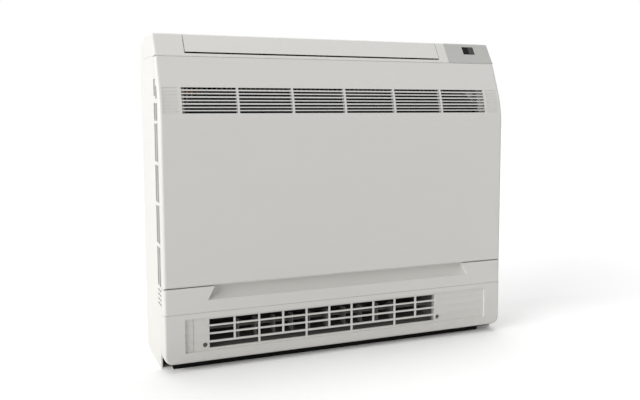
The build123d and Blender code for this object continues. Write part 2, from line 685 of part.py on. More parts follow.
def stepper(shaft_length, ears=True, r=14, offset=8):
    # small geared motor; its shaft is the Z axis and its face is at z = 0
    motor = Pos(0, -offset, -9.5) * Cylinder(r, 19)
    motor += Pos(0, 0, 0.5) * Cylinder(4.5, 1)
    if ears:
        holes = [Pos(x, -offset, 0) * Cylinder(2.1, 4) for x in (-17.5, 17.5)]
        motor += box(-21, 21, -offset - 3.5, -offset + 3.5, -0.8, 0) - holes
    motor += box(-6, 6, -offset - r - 3, -offset - r + 3, -17, -2)
    if shaft_length:
        motor += Pos(0, 0, 1 + shaft_length / 2) * Cylinder(2.5, shaft_length)
    return motor


def louver_motor():
    face = CHEEK_RIGHT + WALL + 1
    turn = Rot(0, -90, 0) * Rot(0, 0, -90)
    return Pos(face, LOUVER_PIVOT_Y, LOUVER_PIVOT_Z) * turn * stepper(0, False, 10, 6)


# Swing blades of the top outlet, their link and crank

BLADES = 8
BLADE_PITCH = 64.0
BLADE_FIRST = -261.0
BLADE_Y = -5.0
LINK_Y = 10.0
CRANK_X = BLADE_FIRST + BLADES * BLADE_PITCH
BAR_LOW = 527.0
BAR_HIGH = 534.0
LINK_LOW = 572.0
LINK_HIGH = 576.0
BLADE_PIN_R = 2.0
LINK_PIN_R = 1.5
LINK_PLAY = 0.45


def blade_x(i):
    return BLADE_FIRST + i * BLADE_PITCH


def top_blade(i):
    x = blade_x(i)
    low = BAR_HIGH + 2
    high = LINK_LOW - 2
    side = outline([
        (-38, low + 5), (-34, low), (12, low), (15, low + 4),
        (15, high - 3), (12, high), (-30, high), (-38, high - 8),
    ])
    blade = across(side, x - 0.8, x + 0.8)
    blade += rod_z(BAR_LOW, 541, x, BLADE_Y, BLADE_PIN_R)
    blade += rod_z(BAR_HIGH + 0.4, 537, x, BLADE_Y, 4)
    blade += rod_z(566, LINK_HIGH + 1, x, LINK_Y, LINK_PIN_R)
    return blade + rod_z(569, LINK_LOW - 0.4, x, LINK_Y, 3)


def blade_link():
    link = box(blade_x(0) - 8, CRANK_X + 8, LINK_Y - 5, LINK_Y + 5, LINK_LOW, LINK_HIGH)
    drop = (LINK_Y - BLADE_Y) * (1 - math.cos(math.radians(31)))
    for i in range(BLADES + 1):
        x = blade_x(i)
        r = LINK_PIN_R + LINK_PLAY
        link -= box(x - r, x + r, LINK_Y - drop, LINK_Y, LINK_LOW - 1, LINK_HIGH + 1)
        link -= rod_z(LINK_LOW - 1, LINK_HIGH + 1, x, LINK_Y, r)
        link -= rod_z(LINK_LOW - 1, LINK_HIGH + 1, x, LINK_Y - drop, r)
    return link


def swing_crank():
    arm = box(CRANK_X - 3.5, CRANK_X + 3.5, BLADE_Y, LINK_Y, 566, 570)
    arm += rod_z(563, 570, CRANK_X, BLADE_Y, 5)
    arm += rod_z(566, 570, CRANK_X, LINK_Y, 3.5)
    arm += rod_z(569, LINK_HIGH + 1, CRANK_X, LINK_Y, LINK_PIN_R)
    return arm - rod_z(560, 568, CRANK_X, BLADE_Y, 2.5 + BORE_GAP)


def swing_motor():
    return Pos(CRANK_X, BLADE_Y, 560) * stepper(6.5)


def top_duct():
    side = outline([
        (DUCT_FRONT - WALL, SCROLL_TOP), (DUCT_FRONT - WALL, 536), (-53.4, 562),
        (-40, 575), (DUCT_REAR + WALL, 575), (DUCT_REAR + WALL, SCROLL_TOP),
    ])
    front = outline([
        (DUCT_FRONT - WALL, SCROLL_TOP), (DUCT_FRONT - WALL, 536), (-53.4, 562),
        (-50.9, 562), (DUCT_FRONT, 536.4), (DUCT_FRONT, SCROLL_TOP),
    ])
    left = DUCT_LEFT - WALL
    right = DUCT_RIGHT + WALL
    duct = across(side, left, DUCT_LEFT) + across(side, DUCT_RIGHT, right)
    duct += across(front, left, right)
    duct += box(left, right, DUCT_REAR, DUCT_REAR + WALL, SCROLL_TOP, 575)
    duct += box(left, right, BLADE_Y - 6, BLADE_Y + 6, BAR_LOW, BAR_HIGH)
    for i in range(BLADES):
        duct -= rod_z(BAR_LOW - 1, BAR_HIGH + 1, blade_x(i), BLADE_Y, BLADE_PIN_R + BORE_GAP)
    duct -= box(DUCT_RIGHT - 1, right + 1, 3, 17, 569, 580)
    # shelf that carries the swing motor
    duct += box(right - 1, CRANK_X + 24, BLADE_Y - 27, BLADE_Y + 9, 556.7, 559.2)
    duct -= rod_z(550, 565, CRANK_X, BLADE_Y - 8, 14.6)
    duct -= box(CRANK_X - 9, CRANK_X + 9, BLADE_Y - 28, BLADE_Y - 18, 550, 565)
    return duct


# Scroll housing round the fan

SCROLL_R = DUCT_RIGHT + 6.7
TONGUE_ANGLE = 70.8


def scroll_face():
    top_centre = (DUCT_LEFT + SCROLL_R, 400.0)
    low_centre = (DUCT_RIGHT - SCROLL_R, 2 * FAN_Z - 400.0)
    a = math.radians(TONGUE_ANGLE)
    low_tongue = (top_centre[0] - SCROLL_R * math.cos(a), top_centre[1] - SCROLL_R * math.sin(a))
    top_tongue = (low_centre[0] + SCROLL_R * math.cos(a), low_centre[1] + SCROLL_R * math.sin(a))
    h = math.radians(TONGUE_ANGLE / 2)
    low_middle = (top_centre[0] - SCROLL_R * math.cos(h), top_centre[1] - SCROLL_R * math.sin(h))
    top_middle = (low_centre[0] + SCROLL_R * math.cos(h), low_centre[1] + SCROLL_R * math.sin(h))
    face = make_face([
        Line((DUCT_LEFT, SCROLL_TOP), (DUCT_LEFT, top_centre[1])),
        ThreePointArc((DUCT_LEFT, top_centre[1]), low_middle, low_tongue),
        Line(low_tongue, (DUCT_LEFT, SCROLL_BOTTOM)),
        Line((DUCT_LEFT, SCROLL_BOTTOM), (DUCT_RIGHT, SCROLL_BOTTOM)),
        Line((DUCT_RIGHT, SCROLL_BOTTOM), (DUCT_RIGHT, low_centre[1])),
        ThreePointArc((DUCT_RIGHT, low_centre[1]), top_middle, top_tongue),
        Line(top_tongue, (DUCT_RIGHT, SCROLL_TOP)),
        Line((DUCT_RIGHT, SCROLL_TOP), (DUCT_LEFT, SCROLL_TOP)),
    ])
    tongues = [v for v in face.vertices()
               if DUCT_LEFT + 5 < v.X < DUCT_RIGHT - 5 and SCROLL_BOTTOM + 5 < v.Y < SCROLL_TOP - 5]
    return fillet(tongues, 5)


def fan_scroll():
    air = scroll_face()
    shell = offset(air, amount=WALL, kind=Kind.INTERSECTION)
    limit = box(DUCT_LEFT - WALL, DUCT_RIGHT + WALL, -100, 100, SCROLL_BOTTOM, SCROLL_TOP)
    scroll = along(shell, DUCT_FRONT, DUCT_REAR + WALL) & limit
    scroll -= along(air, DUCT_FRONT - 1, DUCT_REAR)
    scroll -= rod_y(DUCT_REAR - 1, DUCT_REAR + 5, FAN_X, FAN_Z, MOTOR_R + 2)
    for x, z in motor_lugs():
        scroll -= rod_y(DUCT_REAR - 1, DUCT_REAR + 5, x, z, SCREW_R + BORE_GAP)
    return scroll


def inlet_plate():
    left = DUCT_LEFT - WALL
    right = DUCT_RIGHT + WALL
    plate = box(left, right, DUCT_FRONT - WALL, DUCT_FRONT, SCROLL_BOTTOM, SCROLL_TOP)
    return plate - rod_y(DUCT_FRONT - 5, DUCT_FRONT + 5, FAN_X, FAN_Z, INLET_RADIUS + 5 + BORE_GAP)


def bell_mouth():
    r = INLET_RADIUS
    ring = Plane(origin=(FAN_X, 0, FAN_Z), x_dir=(1, 0, 0), z_dir=(0, 0, 1)) * make_face([
        Line((r - WALL, -30), (r, -30)),
        Line((r, -30), (r, -38)),
        ThreePointArc((r, -38), (r + 1.5, -41.5), (r + 5, DUCT_FRONT)),
        Line((r + 5, DUCT_FRONT), (r + 5, DUCT_FRONT - WALL)),
        ThreePointArc((r + 5, DUCT_FRONT - WALL), (r - 0.3, -43.3), (r - WALL, -38)),
        Line((r - WALL, -38), (r - WALL, -30)),
    ])
    return revolve(ring, axis=Axis((FAN_X, 0, FAN_Z), (0, 1, 0)))


# Fan wheel and motor

MOTOR_R = 52.0
MOTOR_FRONT = 33.0
MOTOR_REAR = 85.0
SHAFT_R = 4.0
LUG_RING = 68.0
SCREW_R = 2.0
MOUNT_R = 7.0
RUBBER_DEPTH = 6.0
FAN_BLADES = 7
BLADE_CURVE = [(88, 0), (110, 14), (138, 27), (168, 36)]


def motor_lugs():
    spots = []
    for i in range(4):
        a = math.radians(45 + 90 * i)
        spots.append((FAN_X + LUG_RING * math.cos(a), FAN_Z + LUG_RING * math.sin(a)))
    return spots


def turned(points):
    face = outline(points)
    plane = Plane(origin=(FAN_X, 0, FAN_Z), x_dir=(1, 0, 0), z_dir=(0, 0, 1))
    return revolve(plane * face, axis=Axis((FAN_X, 0, FAN_Z), (0, 1, 0)))


def fan_wheel():
    shroud_in = INLET_RADIUS + 3.5
    bore = SHAFT_R + BORE_GAP
    rim = FAN_RADIUS - 2
    wheel = turned([(bore, FAN_REAR - WALL), (rim, FAN_REAR - WALL), (rim, FAN_REAR), (bore, FAN_REAR)])
    wheel += turned([(bore, 5), (13, 5), (20, FAN_REAR - 1), (bore, FAN_REAR - 1)])
    shroud = [
        (shroud_in, FAN_FRONT), (shroud_in + 2.5, FAN_FRONT), (FAN_RADIUS, FAN_FRONT + 14),
        (FAN_RADIUS, FAN_FRONT + 16.5), (shroud_in + 1.5, FAN_FRONT + 3), (shroud_in, FAN_FRONT + 2.5),
    ]
    wheel += turned(shroud)
    envelope = turned([(60, FAN_REAR - 2), (FAN_RADIUS - 3, FAN_REAR - 2), (FAN_RADIUS - 1, -18),
                       (shroud_in + 6, -29), (shroud_in + 2, -27), (100, -24), (70, 5)])
    blades = []
    for i in range(FAN_BLADES):
        outer = []
        inner = []
        for r, turn in BLADE_CURVE:
            a = math.radians(turn + 360 / FAN_BLADES * i)
            b = a + 2.2 / r
            outer.append((FAN_X + r * math.cos(a), FAN_Z + r * math.sin(a)))
            inner.append((FAN_X + r * math.cos(b), FAN_Z + r * math.sin(b)))
        blades.append(envelope & along(outline(outer + inner[::-1]), FAN_FRONT, FAN_REAR))
    for blade in blades:
        wheel += blade
    return wheel


def motor_shaft():
    return rod_y(-2, MOTOR_REAR + 3, FAN_X, FAN_Z, SHAFT_R)


def shaft_nut():
    nut = RegularPolygon(7.5, 6)
    nut = along(Pos(FAN_X, FAN_Z) * nut, 0, 5)
    return nut - rod_y(-5, 10, FAN_X, FAN_Z, SHAFT_R + BORE_GAP)


def fan_motor():
    can = rod_y(MOTOR_FRONT, MOTOR_REAR, FAN_X, FAN_Z, MOTOR_R)
    can = fillet(can.edges().filter_by(GeomType.CIRCLE), 4)
    for x, z in motor_lugs():
        lug = rod_y(DUCT_REAR + WALL + RUBBER_DEPTH, DUCT_REAR + WALL + RUBBER_DEPTH + 3, x, z, 8)
        a = math.atan2(z - FAN_Z, x - FAN_X)
        mid = (FAN_X + 55 * math.cos(a), FAN_Z + 55 * math.sin(a))
        arm_y = DUCT_REAR + WALL + RUBBER_DEPTH + 1.5
        arm = Pos(mid[0], arm_y, mid[1]) * Rot(0, -math.degrees(a), 0) * Box(26, 3, 14)
        can += lug + arm
        can -= rod_y(40, 60, x, z, SCREW_R + 0.2)
    can -= rod_y(0, 100, FAN_X, FAN_Z, 7)
    can -= rod_y(MOTOR_FRONT - 1, MOTOR_FRONT + 8, FAN_X, FAN_Z, 11 + BORE_GAP)
    return can - rod_y(MOTOR_REAR - 8, MOTOR_REAR + 1, FAN_X, FAN_Z, 11 + BORE_GAP)


def motor_bearings():
    rings = []
    for y0, y1 in ((MOTOR_FRONT + 1, MOTOR_FRONT + 8), (MOTOR_REAR - 8, MOTOR_REAR - 1)):
        ring = rod_y(y0, y1, FAN_X, FAN_Z, 11)
        rings.append(ring - rod_y(y0 - 1, y1 + 1, FAN_X, FAN_Z, SHAFT_R + BORE_GAP))
    return group(rings)


def motor_mounts():
    y = DUCT_REAR + WALL
    return group(rod_y(y, y + RUBBER_DEPTH, x, z, MOUNT_R) - rod_y(y - 1, y + 9, x, z, SCREW_R + 0.2)
                 for x, z in motor_lugs())


def motor_screws():
    y = DUCT_REAR + WALL + RUBBER_DEPTH + 3
    screws = []
    for x, z in motor_lugs():
        screw = rod_y(DUCT_REAR - 2, y + 0.5, x, z, SCREW_R) + rod_y(y, y + 3, x, z, 4)
        screws.append(screw - box(x - 2.5, x + 2.5, y + 1.8, y + 4, z - 0.5, z + 0.5))
    return group(screws)

# Lower duct, its guide vanes and the air door

DUCT_NECK = 110.0
DOOR_Y = -3.5
DOOR_Z = 102.0
DOOR_REACH = 37.0
DOOR_SHAFT_R = 3.0
VANE_XS = [-209.8, -176.3, -140.1, -104.3, -69.8, -32.5, 4.5, 40.0, 75.1, 107.5]
VANE_BAR = (-70.0, 64.0)


def lower_passage(grow):
    # upper neck narrows sideways, then the bend turns to the front
    wide = Rectangle(DUCT_RIGHT - DUCT_LEFT + 2 * grow, DUCT_REAR - DUCT_FRONT + 2 * grow)
    neck = Rectangle(OUTLET_RIGHT - OUTLET_LEFT + 2 * grow, DUCT_REAR - DUCT_FRONT + 2 * grow)
    middle_y = (DUCT_FRONT + DUCT_REAR) / 2
    top = Pos((DUCT_LEFT + DUCT_RIGHT) / 2, middle_y, SCROLL_BOTTOM) * wide
    low = Pos((OUTLET_LEFT + OUTLET_RIGHT) / 2, middle_y, DUCT_NECK) * neck
    funnel = loft([low, top])
    g = grow
    bend = make_face([
        Line((DUCT_FRONT - g, DUCT_NECK), (DUCT_REAR + g, DUCT_NECK)),
        Line((DUCT_REAR + g, DUCT_NECK), (DUCT_REAR + g, 72 - g)),
        ThreePointArc((DUCT_REAR + g, 72 - g), (22, 55.5 - g), (-8, 48.5 - g)),
        Line((-8, 48.5 - g), (GRILLE_BACK, 36.5 - g)),
        Line((GRILLE_BACK, 36.5 - g), (GRILLE_BACK, 91 + g)),
        ThreePointArc((GRILLE_BACK, 91 + g), (-60, 96 + g), (DUCT_FRONT - g, DUCT_NECK)),
    ])
    return funnel + across(bend, OUTLET_LEFT - g, OUTLET_RIGHT + g)


def lower_duct():
    duct = lower_passage(WALL) - lower_passage(0)
    duct -= box(OUTLET_LEFT, OUTLET_RIGHT, -120, GRILLE_BACK + 1, 36.5, 91)
    duct &= box(-400, 400, CASE_EDGE_Y + WALL, 200, 0, SCROLL_BOTTOM)
    for x0, x1 in ((OUTLET_LEFT - 4, OUTLET_LEFT + 1), (OUTLET_RIGHT - 1, OUTLET_RIGHT + 4)):
        duct -= rod_x(x0, x1, DOOR_Y, DOOR_Z, DOOR_SHAFT_R + BORE_GAP)
    # feet that stand on the bottom of the rear case
    for x in (-230, -36, 160):
        foot = box(x - 3, x + 3, -60, 20, WALL, 50) - lower_passage(1)
        duct += foot
    return duct


def lower_guide_vanes():
    y, z = VANE_BAR
    shape = make_face([
        Line((-88, 42), (-88, 80)),
        ThreePointArc((-88, 80), (-66, 76), (-52, 62)),
        Line((-52, 62), (-60, 50)),
        Line((-60, 50), (-88, 42)),
    ])
    vanes = rod_x(OUTLET_LEFT, OUTLET_RIGHT, y, z, 2.5)
    for x in VANE_XS:
        vanes += across(shape, x - 0.8, x + 0.8)
    return vanes


def air_door():
    tube = DOOR_SHAFT_R + 2.2
    front = DOOR_Y - DOOR_REACH
    rear = DOOR_Y + DOOR_REACH
    door = box(OUTLET_LEFT + 1, OUTLET_RIGHT - 1, front, rear, DOOR_Z - 1, DOOR_Z + 1)
    door += rod_x(OUTLET_LEFT + 1, OUTLET_RIGHT - 1, DOOR_Y, DOOR_Z, tube)
    return door - rod_x(OUTLET_LEFT, OUTLET_RIGHT, DOOR_Y, DOOR_Z, DOOR_SHAFT_R + BORE_GAP)


def door_shaft():
    return rod_x(OUTLET_LEFT - 4, OUTLET_RIGHT + WALL + 1.5, DOOR_Y, DOOR_Z, DOOR_SHAFT_R)


def door_motor():
    motor = Pos(OUTLET_RIGHT + WALL + 1, DOOR_Y, DOOR_Z) * Rot(0, -90, 0) * Rot(0, 0, -90) * stepper(0)
    wall_x = OUTLET_RIGHT + WALL
    return motor - rod_x(wall_x - 1, wall_x + 8, DOOR_Y, DOOR_Z, DOOR_SHAFT_R + BORE_GAP)


# Coil with its tubes and pipes

COIL_LEFT = 50.0 - HALF
COIL_RIGHT = HALF - 128.0
COIL_LOW = 172.0
COIL_HIGH = FRAME_HIGH
COIL_FRONT = FRONT + 30.5
COIL_REAR = FRONT + 55.9
TUBE_R = 3.5
TUBE_ROWS = 14
TUBE_PITCH = 24.0
TUBE_FIRST = 186.0
TUBE_YS = [-70.6, -58.0]
FIN_PITCH = 9.0
FIN_THICKNESS = 1.0
PAN_BOTTOM = 148.0
PAN_FLOOR = 150.0


def tube_spots():
    spots = []
    for i, y in enumerate(TUBE_YS):
        for row in range(TUBE_ROWS):
            z = TUBE_FIRST + row * TUBE_PITCH
            if z < COIL_HIGH - 8:
                spots.append((y, z))
    return spots


def fin(thickness, low, rear):
    plate = box(-thickness / 2, thickness / 2, COIL_FRONT, rear, low, COIL_HIGH)
    return plate - [rod_x(-thickness, thickness, y, z, TUBE_R + BORE_GAP) for y, z in tube_spots()]


def coil_fins():
    plate = fin(FIN_THICKNESS, COIL_LOW, COIL_REAR)
    count = int((COIL_RIGHT - COIL_LEFT - 8) / FIN_PITCH)
    return group(Pos(COIL_LEFT + 5 + i * FIN_PITCH, 0, 0) * plate for i in range(count + 1))


def coil_end_plates():
    plate = fin(1.5, PAN_FLOOR, DUCT_FRONT - WALL)
    return group(Pos(x, 0, 0) * plate for x in (COIL_LEFT - 2, COIL_RIGHT + 2))


def coil_tubes():
    return group(rod_x(COIL_LEFT - 6, COIL_RIGHT + 6, y, z, TUBE_R) for y, z in tube_spots())


def bend(x, y, z, height, side):
    # half ring that joins two tubes, one above the other
    r = height / 2
    plane = Plane(origin=(x, y, z + height), x_dir=(0, 1, 0), z_dir=(1, 0, 0))
    ring = revolve(plane * Circle(TUBE_R), axis=Axis((x, y, z + r), (0, side, 0)), revolution_arc=180)
    return ring


def coil_bends():
    bends = []
    for y in TUBE_YS:
        for row in range(0, TUBE_ROWS - 1, 2):
            bends.append(bend(COIL_LEFT - 6, y, TUBE_FIRST + row * TUBE_PITCH, TUBE_PITCH, -1))
        for row in range(1, TUBE_ROWS - 2, 2):
            bends.append(bend(COIL_RIGHT + 6, y, TUBE_FIRST + row * TUBE_PITCH, TUBE_PITCH, 1))
    # the last two tubes are joined front to back
    z = TUBE_FIRST + (TUBE_ROWS - 1) * TUBE_PITCH
    start = Plane(origin=(COIL_RIGHT + 6, TUBE_YS[0], z), x_dir=(0, 1, 0), z_dir=(1, 0, 0))
    middle = (TUBE_YS[0] + TUBE_YS[1]) / 2
    turn_axis = Axis((COIL_RIGHT + 6, middle, z), (0, 0, 1))
    bends.append(revolve(start * Circle(TUBE_R), axis=turn_axis, revolution_arc=180))
    return group(bends)


def pipe(points, r, corner):
    path = FilletPolyline(*points, radius=corner)
    start = Plane(origin=path @ 0, z_dir=path % 0)
    return sweep(start * Circle(r), path=path)


PIPE_END_Z = 45.0
GAS_R = 4.8
LIQUID_R = 3.2
LIQUID_X = COIL_RIGHT + 12


def gas_pipe():
    y, z = TUBE_YS[1], TUBE_FIRST
    return pipe([(COIL_RIGHT + 6, y, z), (COIL_RIGHT + 22, y, z), (COIL_RIGHT + 22, y, PIPE_END_Z),
                 (COIL_RIGHT + 22, 40, PIPE_END_Z)], GAS_R, 12)


def liquid_pipe():
    y, z = TUBE_YS[0], TUBE_FIRST
    return pipe([(COIL_RIGHT + 6, y, z), (LIQUID_X, y, z), (LIQUID_X, y, PIPE_END_Z + 25),
                 (LIQUID_X, 40, PIPE_END_Z + 25)], LIQUID_R, 5)


def flare_nuts():
    nuts = []
    ends = [(COIL_RIGHT + 22, PIPE_END_Z, GAS_R, 22), (LIQUID_X, PIPE_END_Z + 25, LIQUID_R, 17)]
    for x, z, r, across_flats in ends:
        nut = along(Pos(x, z) * RegularPolygon(across_flats / 2, 6, major_radius=False), 30, 52)
        nut += rod_y(52, 60, x, z, r + 3)
        nuts.append(nut - rod_y(29, 61, x, z, r + BORE_GAP))
    return group(nuts)


def drain_pan():
    left, right = COIL_LEFT - 16, COIL_RIGHT + 8
    front, rear = -80.5, DUCT_FRONT - WALL
    pan = box(left, right, front, rear, PAN_BOTTOM, 168)
    pan -= box(left + 2, right - 2, front + 2, rear - 2, PAN_FLOOR, 170)
    pan -= box(COIL_LEFT - 3, COIL_LEFT - 1, rear - 3, rear + 1, PAN_FLOOR, 170)
    pan -= box(COIL_RIGHT + 1, COIL_RIGHT + 3, rear - 3, rear + 1, PAN_FLOOR, 170)
    spout = rod_z(128, PAN_BOTTOM + 0.5, left + 9, -62, 7) - rod_z(120, PAN_FLOOR + 1, left + 9, -62, 5)
    return (pan - rod_z(140, 160, left + 9, -62, 5)) + spout


# Air filters

FILTER_FRONT = FRONT + 24.0
FILTER_REAR = FRONT + 28.0
FILTER_LOW = 172.0
FILTER_HIGH = FRAME_HIGH - 15.0
FILTER_CUT = 26.0


def filter_frame(inner_x, outer_x):
    side = 1 if outer_x > inner_x else -1

    def corner_shape(inset):
        a = inner_x + side * inset
        b = outer_x - side * inset
        top = FILTER_HIGH - inset
        return outline([(a, FILTER_LOW + inset), (b, FILTER_LOW + inset), (b, top - FILTER_CUT),
                        (b - side * FILTER_CUT, top), (a, top)])

    frame = along(corner_shape(0), FILTER_FRONT, FILTER_REAR)
    frame -= along(corner_shape(7), FILTER_FRONT - 1, FILTER_REAR + 1)
    inside = along(corner_shape(6), FILTER_FRONT + 1, FILTER_FRONT + 2.4)
    middle = (inner_x + outer_x) / 2
    for i in range(1, 4):
        x = inner_x + (outer_x - inner_x) * i / 4
        frame += inside & box(x - 1.2, x + 1.2, -100, -70, FILTER_LOW, FILTER_HIGH)
    for i in range(1, 7):
        z = FILTER_LOW + (FILTER_HIGH - FILTER_LOW) * i / 7
        frame += inside & box(-400, 400, -100, -70, z - 1.2, z + 1.2)
    frame += along(corner_shape(6), FILTER_FRONT + 2.4, FILTER_FRONT + 2.9)
    grip = box(middle - 18, middle + 18, FILTER_FRONT, FILTER_REAR, FILTER_LOW + 3, FILTER_LOW + 14)
    return frame + grip


def filter_left():
    return filter_frame(-2, -300)


def filter_right():
    return filter_frame(2, 300)


# Electric box

BOX_LEFT = HALF - 100.0
BOX_RIGHT = HALF - 30.0
BOX_FRONT = FRONT + 37.5
BOX_REAR = BACK - 27.5
BOX_LOW = 120.0
BOX_HIGH = HEIGHT - 100.0
BOARD_X = HALF - 44.0


def electric_box():
    shell = box(BOX_LEFT, BOX_RIGHT, BOX_FRONT, BOX_REAR, BOX_LOW, BOX_HIGH)
    shell -= box(BOX_LEFT + 2, BOX_RIGHT - 2, BOX_FRONT - 1, BOX_REAR - 2, BOX_LOW + 2, BOX_HIGH - 2)
    for y in (-50, 50):
        for z in (170, 450):
            shell += rod_x(BOARD_X + 1.6, BOX_RIGHT - 1, y, z, 4)
    # feet to the back wall
    for z in (160, 460):
        shell += box(270, 300, BOX_REAR - 1, BACK - WALL, z - 6, z + 6)
    return shell


def electric_box_cover():
    cover = box(BOX_LEFT, BOX_RIGHT, BOX_FRONT - 2, BOX_FRONT, BOX_LOW, BOX_HIGH)
    for i in range(8):
        cover -= box(262, 300, BOX_FRONT - 3, BOX_FRONT + 1, 400 + i * 9, 404 + i * 9)
    return cover


def control_board():
    return box(BOARD_X, BOARD_X + 1.6, -62, 70, 150, 470)


def board_components():
    parts = []
    blocks = [
        (-40, 430, 30, 26, 22),
        (10, 430, 40, 36, 30),
        (45, 380, 24, 24, 26),
        (-20, 360, 18, 18, 16),
        (30, 300, 46, 30, 18),
        (-35, 260, 22, 40, 14),
        (15, 220, 34, 22, 20),
    ]
    for y, z, w, h, t in blocks:
        parts.append(box(BOARD_X - t, BOARD_X, y - w / 2, y + w / 2, z - h / 2, z + h / 2))
    for y, z in ((-45, 320), (-45, 300), (0, 270), (55, 250)):
        parts.append(rod_x(BOARD_X - 20, BOARD_X, y, z, 7))
    return group(parts)


def terminal_block():
    block = box(266, 292, BOX_FRONT + 6, BOX_FRONT + 56, BOX_LOW + 2, BOX_LOW + 20)
    for i in range(4):
        y = BOX_FRONT + 13 + i * 12
        block -= box(270, 288, y - 4, y + 4, BOX_LOW + 14, BOX_LOW + 22)
        block += rod_z(BOX_LOW + 12, BOX_LOW + 18, 279, y, 3)
    return block


def wire_clamp():
    clamp = box(266, 292, 8, 24, BOX_LOW + 2, BOX_LOW + 12)
    return clamp - rod_y(7, 25, 279, BOX_LOW + 8, 3.5)


def manual_button():
    y = FRONT + FRAME_INSET
    button = rod_y(y - 3, y + 8, BUTTON_X, BUTTON_Z, BUTTON_R)
    rear = FRONT + FRAME_BACK + SLIP_GAP
    return button + rod_y(rear, rear + 1.4, BUTTON_X, BUTTON_Z, BUTTON_R + 2)


def outlet_switch():
    y = FRONT + FRAME_INSET
    knob = box(BUTTON_X - 4, BUTTON_X + 4, y - 4, y - SLIP_GAP, SWITCH_Z - 7, SWITCH_Z - 1)
    rear = FRONT + FRAME_BACK + SLIP_GAP
    knob += box(BUTTON_X - 1.6, BUTTON_X + 1.6, y - 1, rear + 1, SWITCH_Z - 6.5, SWITCH_Z - 1.5)
    return knob + box(BUTTON_X - 4, BUTTON_X + 4, rear, rear + 2.4, SWITCH_Z - 7, SWITCH_Z - 1)

PIECES = [
    rear_case,
    mounting_plate,
    base_strip,
    front_case,
    case_screws,
    lower_grille,
    grille_screws,
    front_panel,
    display_cover,
    display_window,
    display_board,
    top_louver,
    louver_bush,
    louver_motor,
    blade_link,
    swing_crank,
    swing_motor,
    top_duct,
    fan_scroll,
    inlet_plate,
    bell_mouth,
    fan_wheel,
    motor_shaft,
    shaft_nut,
    fan_motor,
    motor_bearings,
    motor_mounts,
    motor_screws,
    lower_duct,
    lower_guide_vanes,
    air_door,
    door_shaft,
    door_motor,
    coil_fins,
    coil_end_plates,
    coil_tubes,
    coil_bends,
    gas_pipe,
    liquid_pipe,
    flare_nuts,
    drain_pan,
    filter_left,
    filter_right,
    electric_box,
    electric_box_cover,
    control_board,
    board_components,
    terminal_block,
    wire_clamp,
    manual_button,
    outlet_switch,
]

for make in PIECES:
    save(make.__name__, make())
for i in range(BLADES):
    save("top_blade_" + str(i + 1), top_blade(i))
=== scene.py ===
import json
import math

import bmesh
import bpy
from mathutils import Matrix, Vector


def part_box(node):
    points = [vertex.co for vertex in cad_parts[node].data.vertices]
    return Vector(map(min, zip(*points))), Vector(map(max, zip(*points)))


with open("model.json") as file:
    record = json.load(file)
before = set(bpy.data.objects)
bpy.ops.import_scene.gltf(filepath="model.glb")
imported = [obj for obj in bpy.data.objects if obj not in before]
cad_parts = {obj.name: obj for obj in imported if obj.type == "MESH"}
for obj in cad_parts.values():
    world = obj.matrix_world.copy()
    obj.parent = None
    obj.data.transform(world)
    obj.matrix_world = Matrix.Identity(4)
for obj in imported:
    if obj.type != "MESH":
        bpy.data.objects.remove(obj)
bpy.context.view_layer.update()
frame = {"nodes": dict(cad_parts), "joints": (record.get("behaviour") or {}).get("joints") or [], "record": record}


# Camera and light

EYE = Vector((-0.5857, -1.4362, 0.4652))
YAW = math.radians(23.007)
PITCH = math.radians(5.483)
ROLL = math.radians(-0.087)
LENS = 43.245
SHIFT = (-0.0258, -0.0267)
NEAR_CLIP = 0.02

LAMP_SPREAD = 50.0
SIDE_LAMP_FROM = (-0.93, -0.25, 0.25)
SIDE_LAMP_LEVEL = 0.92
TOP_LAMP_FROM = (0.1, 0.3, 1.0)
TOP_LAMP_LEVEL = 0.42


def make_camera():
    forward = Vector((math.sin(YAW) * math.cos(PITCH), math.cos(YAW) * math.cos(PITCH), -math.sin(PITCH)))
    level = Vector((math.cos(YAW), -math.sin(YAW), 0.0))
    upright = level.cross(forward)
    right = math.cos(ROLL) * level + math.sin(ROLL) * upright
    up = math.cos(ROLL) * upright - math.sin(ROLL) * level
    data = bpy.data.cameras.new("camera")
    data.lens = LENS
    data.shift_x, data.shift_y = SHIFT
    data.clip_start = NEAR_CLIP
    camera = bpy.data.objects.new("camera", data)
    turn = Matrix((right, up, -forward)).transposed().to_4x4()
    camera.matrix_world = Matrix.Translation(EYE) @ turn
    bpy.context.collection.objects.link(camera)
    bpy.context.scene.camera = camera


def make_lamp(name, place, level):
    """Even soft light from one side: level 1 lights a face that looks at it as its colour is written."""
    data = bpy.data.lights.new(name, "SUN")
    data.angle = math.radians(LAMP_SPREAD)
    data.energy = level * math.pi
    lamp = bpy.data.objects.new(name, data)
    aim = -Vector(place)
    lamp.matrix_world = aim.to_track_quat("-Z", "Y").to_matrix().to_4x4()
    bpy.context.collection.objects.link(lamp)


# Shader arithmetic

class Value:
    """One number or colour that varies from point to point, for sums written as plain arithmetic."""

    def __init__(self, shader, socket):
        self.shader = shader
        self.socket = socket

    def __add__(self, other):
        return self.shader.work_out("ADD", self, other)

    def __sub__(self, other):
        return self.shader.work_out("SUBTRACT", self, other)

    def __rsub__(self, other):
        return self.shader.work_out("SUBTRACT", other, self)

    def __mul__(self, other):
        return self.shader.work_out("MULTIPLY", self, other)

    def __gt__(self, other):
        return self.shader.work_out("GREATER_THAN", self, other)

    def __lt__(self, other):
        return self.shader.work_out("LESS_THAN", self, other)

    __radd__ = __add__
    __rmul__ = __mul__


